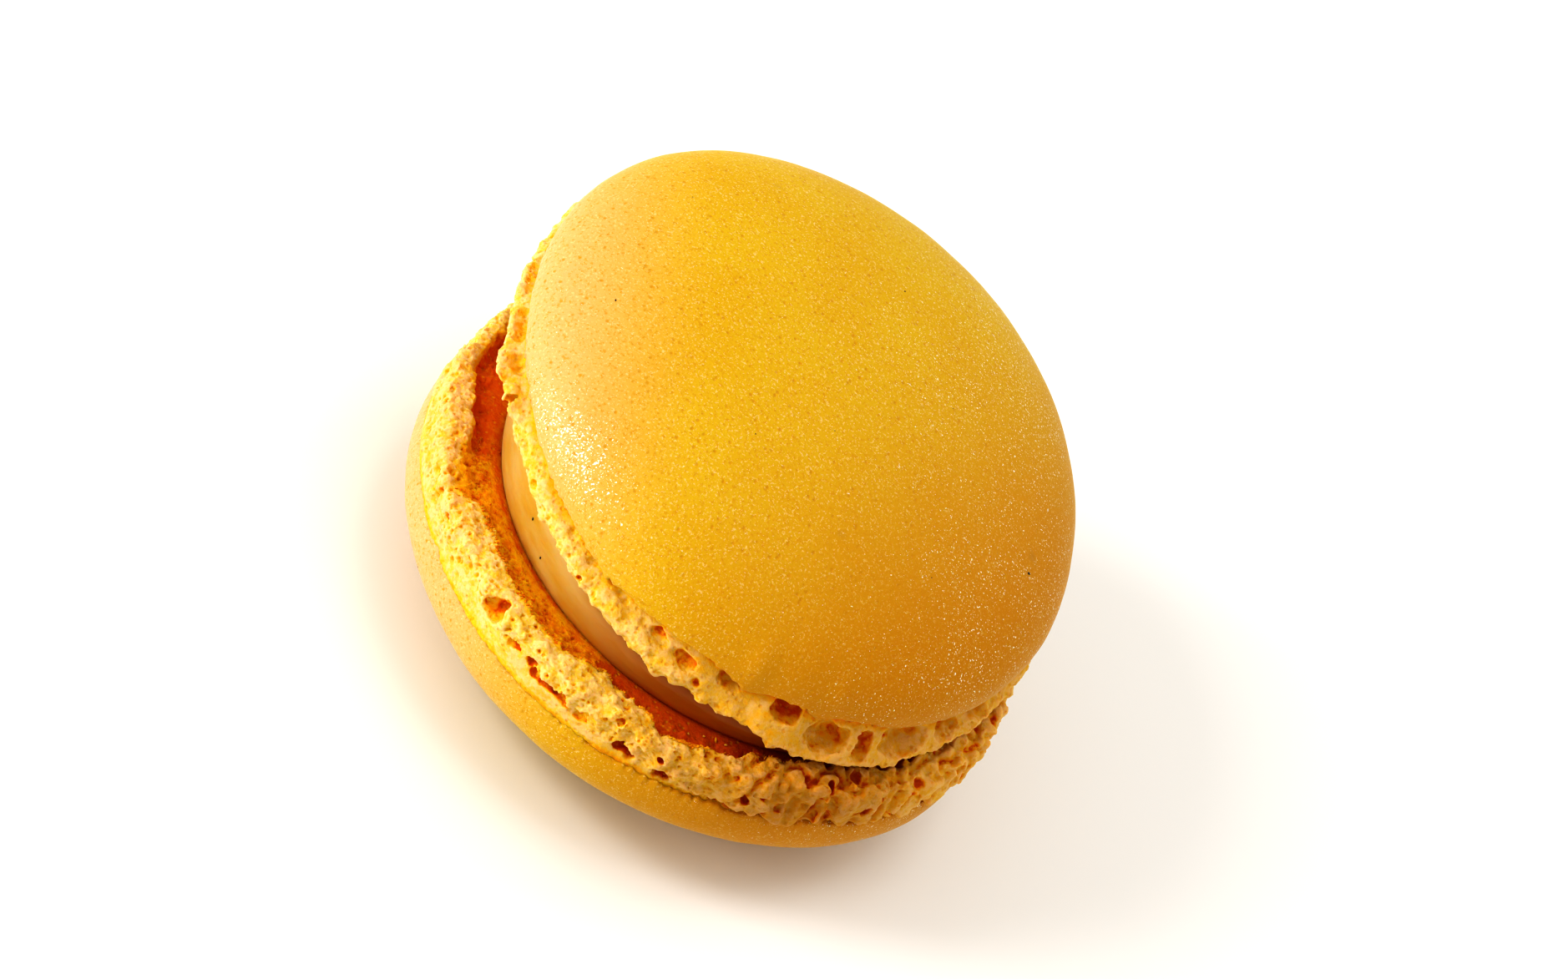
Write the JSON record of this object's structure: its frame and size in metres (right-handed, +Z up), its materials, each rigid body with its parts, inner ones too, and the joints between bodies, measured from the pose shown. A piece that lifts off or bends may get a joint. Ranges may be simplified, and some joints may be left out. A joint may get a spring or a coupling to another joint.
{
  "type": "french macaron",
  "caption": "Round sandwich of domed, smooth almond meringue shells with ruffled feet round a wedge of soft cream filling, the upper shell tipped to one side.",
  "frame": {"origin": "middle of the flat spot on the bottom shell's dome, on that shell's axis", "axes": "+Z up, along the bottom shell's axis, from its dome to its inner face; the shells come closest together towards +X and -Y"},
  "size_m": [0.0462, 0.0477, 0.0286],
  "materials": {
    "shell_skin": "smooth satin baked meringue, warm yellow",
    "shell_foot": "matt porous crumb, paler than the skin, deep orange in its hollows",
    "filling": "soft satin cream, pale caramel brown",
    "vanilla_speck": "tiny dark brown specks"
  },
  "bodies": {
    "root": {"bottom_shell": "shell_skin", "filling": "filling", "top_shell": "shell_skin"}
  },
  "joints": []
}
